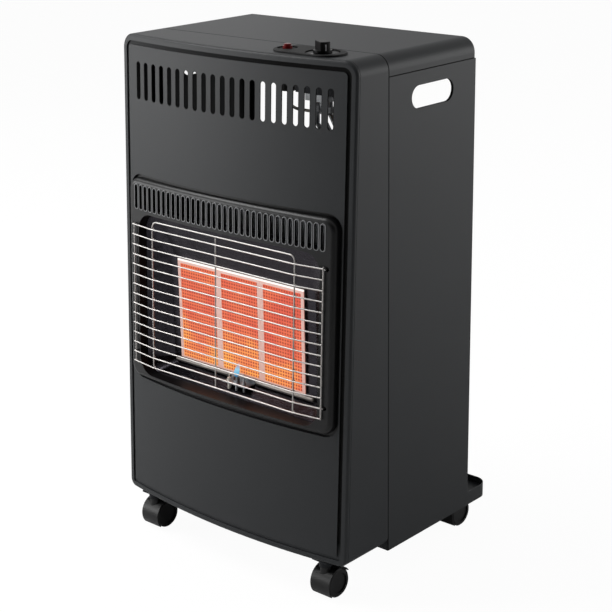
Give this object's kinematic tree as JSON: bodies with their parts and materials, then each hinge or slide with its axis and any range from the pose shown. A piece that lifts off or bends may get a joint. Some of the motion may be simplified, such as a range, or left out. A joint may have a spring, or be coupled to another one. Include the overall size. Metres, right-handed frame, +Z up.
{
  "type": "portable gas cabinet heater",
  "caption": "Roll-about gas cabinet heater: bowed steel front with glowing ceramic burners behind a wire guard, top controls, open rear bottle bay, twin-wheel castors.",
  "frame": {"origin": "on the floor, under the middle of the whole heater's width and depth", "axes": "+X to the viewer's right when facing the front, +Y to the back, +Z up; the front faces -Y"},
  "size_m": [0.42, 0.3502, 0.746],
  "materials": {
    "panel_enamel": "satin dark grey powder coat",
    "surround_enamel": "satin black heat-resistant enamel",
    "galvanised": "dull zinc-coated sheet",
    "zinc_wire": "bright plated wire",
    "dark_reflector": "bright steel darkened by heat",
    "burner_steel": "aluminised sheet",
    "ceramic": "perforated ceramic, lit orange",
    "white_ceramic": "glazed white ceramic",
    "brass": "turned brass",
    "cast_alloy": "die-cast alloy",
    "tube_aluminium": "drawn tube, satin",
    "copper_lead": "thin copper sheath",
    "silicone_lead": "pale silicone sleeve",
    "axle_steel": "ground steel",
    "black_plastic": "fine matt black moulding",
    "red_plastic": "glossy red moulding",
    "white_mark": "white filled mark",
    "castor_plastic": "satin black moulding",
    "wheel_plastic": "hard black moulding"
  },
  "bodies": {
    "cabinet": {"front_panel": "panel_enamel", "front_housing": "panel_enamel", "top_hood": "panel_enamel", "side_panel_left": "panel_enamel", "side_panel_right": "panel_enamel", "base_tray": "panel_enamel", "front_base": "galvanised", "heat_shield": "galvanised", "burner_surround": "surround_enamel", "wire_guard": "zinc_wire", "reflector": "dark_reflector", "burner_left": "burner_steel", "burner_middle": "burner_steel", "burner_right": "burner_steel", "ceramic_plaque_left": "ceramic", "ceramic_plaque_middle": "ceramic", "ceramic_plaque_right": "ceramic", "injector_bracket": "galvanised", "injectors": "brass", "gas_valve_body": "cast_alloy", "valve_bracket": "galvanised", "gas_inlet_nozzle": "brass", "control_plate": "black_plastic", "piezo_igniter": "black_plastic", "supply_tube_right": "tube_aluminium", "supply_tube_middle": "tube_aluminium", "supply_tube_left": "tube_aluminium", "pilot_bracket": "galvanised", "pilot_burner": "axle_steel", "thermocouple": "axle_steel", "ignition_electrode": "white_ceramic", "thermocouple_lead": "copper_lead", "pilot_tube": "tube_aluminium", "igniter_lead": "silicone_lead", "castor_sockets": "galvanised"},
    "plug": {"valve_plug": "brass"},
    "knob": {"valve_spindle": "axle_steel", "control_knob": "black_plastic", "knob_index": "white_mark"},
    "button": {"ignition_button": "red_plastic"},
    "castor_front_left": {"castor_hood_front_left": "castor_plastic"},
    "wheels_front_left": {"castor_wheels_front_left": "wheel_plastic", "castor_axle_front_left": "axle_steel"},
    "castor_front_right": {"castor_hood_front_right": "castor_plastic"},
    "wheels_front_right": {"castor_wheels_front_right": "wheel_plastic", "castor_axle_front_right": "axle_steel"},
    "castor_rear_left": {"castor_hood_rear_left": "castor_plastic"},
    "wheels_rear_left": {"castor_wheels_rear_left": "wheel_plastic", "castor_axle_rear_left": "axle_steel"},
    "castor_rear_right": {"castor_hood_rear_right": "castor_plastic"},
    "wheels_rear_right": {"castor_wheels_rear_right": "wheel_plastic", "castor_axle_rear_right": "axle_steel"}
  },
  "joints": [
    {"name": "knob_turn", "type": "hinge", "parent": "cabinet", "child": "plug", "pos_m": [0.135, -0.1028, 0.7], "axis": [0, 0, 1], "range_deg": [-210, 0]},
    {"name": "knob_push", "type": "slide", "parent": "plug", "child": "knob", "axis": [0, 0, -1], "range_m": [0, 0.004], "stiffness_N_per_m": 1500, "springref_m": -0.001},
    {"name": "igniter_press", "type": "slide", "parent": "cabinet", "child": "button", "axis": [0, 0, -1], "range_m": [0, 0.005], "stiffness_N_per_m": 800, "springref_m": -0.001},
    {"name": "swivel_front_left", "type": "hinge", "parent": "cabinet", "child": "castor_front_left", "pos_m": [-0.167, -0.1468, 0.05], "axis": [0, 0, 1], "continuous": true},
    {"name": "roll_front_left", "type": "hinge", "parent": "castor_front_left", "child": "wheels_front_left", "pos_m": [-0.167, -0.1368, 0.021], "axis": [1, 0, 0], "continuous": true},
    {"name": "swivel_front_right", "type": "hinge", "parent": "cabinet", "child": "castor_front_right", "pos_m": [0.167, -0.1468, 0.05], "axis": [0, 0, 1], "continuous": true},
    {"name": "roll_front_right", "type": "hinge", "parent": "castor_front_right", "child": "wheels_front_right", "pos_m": [0.167, -0.1368, 0.021], "axis": [1, 0, 0], "continuous": true},
    {"name": "swivel_rear_left", "type": "hinge", "parent": "cabinet", "child": "castor_rear_left", "pos_m": [-0.167, 0.1342, 0.05], "axis": [0, 0, 1], "continuous": true},
    {"name": "roll_rear_left", "type": "hinge", "parent": "castor_rear_left", "child": "wheels_rear_left", "pos_m": [-0.167, 0.1442, 0.021], "axis": [1, 0, 0], "continuous": true},
    {"name": "swivel_rear_right", "type": "hinge", "parent": "cabinet", "child": "castor_rear_right", "pos_m": [0.167, 0.1342, 0.05], "axis": [0, 0, 1], "continuous": true},
    {"name": "roll_rear_right", "type": "hinge", "parent": "castor_rear_right", "child": "wheels_rear_right", "pos_m": [0.167, 0.1442, 0.021], "axis": [1, 0, 0], "continuous": true}
  ]
}
